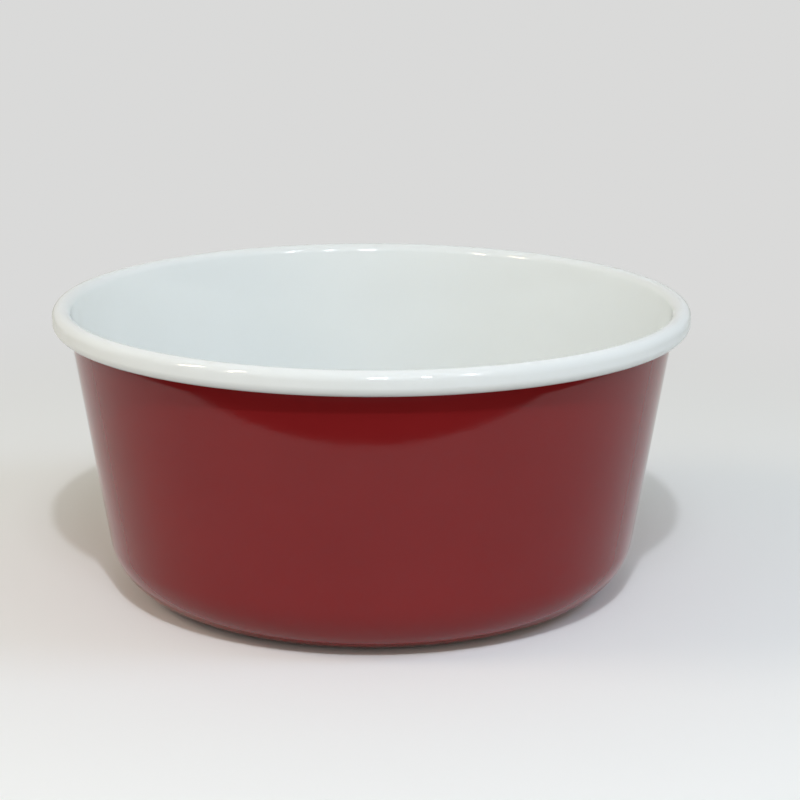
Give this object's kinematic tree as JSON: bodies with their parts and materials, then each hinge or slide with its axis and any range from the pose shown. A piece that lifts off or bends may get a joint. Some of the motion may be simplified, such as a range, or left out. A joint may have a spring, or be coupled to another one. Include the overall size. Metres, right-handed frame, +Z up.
{
  "type": "enamel basin bowl",
  "caption": "Round enamelled steel bowl with a straight flared wall, rounded corner, rolled rim and raised base panel, for mixing, washing or serving.",
  "frame": {"origin": "on the table, at the centre of the standing ring", "axes": "+Z up along the bowl's axis; the bowl is round, so X and Y are alike"},
  "size_m": [0.24, 0.24, 0.11],
  "materials": {
    "steel": "satin",
    "ground_enamel": "gloss",
    "white_enamel": "gloss",
    "red_enamel": "gloss"
  },
  "bodies": {
    "root": {"steel_pressing": "steel", "ground_coat": "ground_enamel", "white_coat": "white_enamel", "red_coat": "red_enamel"}
  },
  "joints": []
}
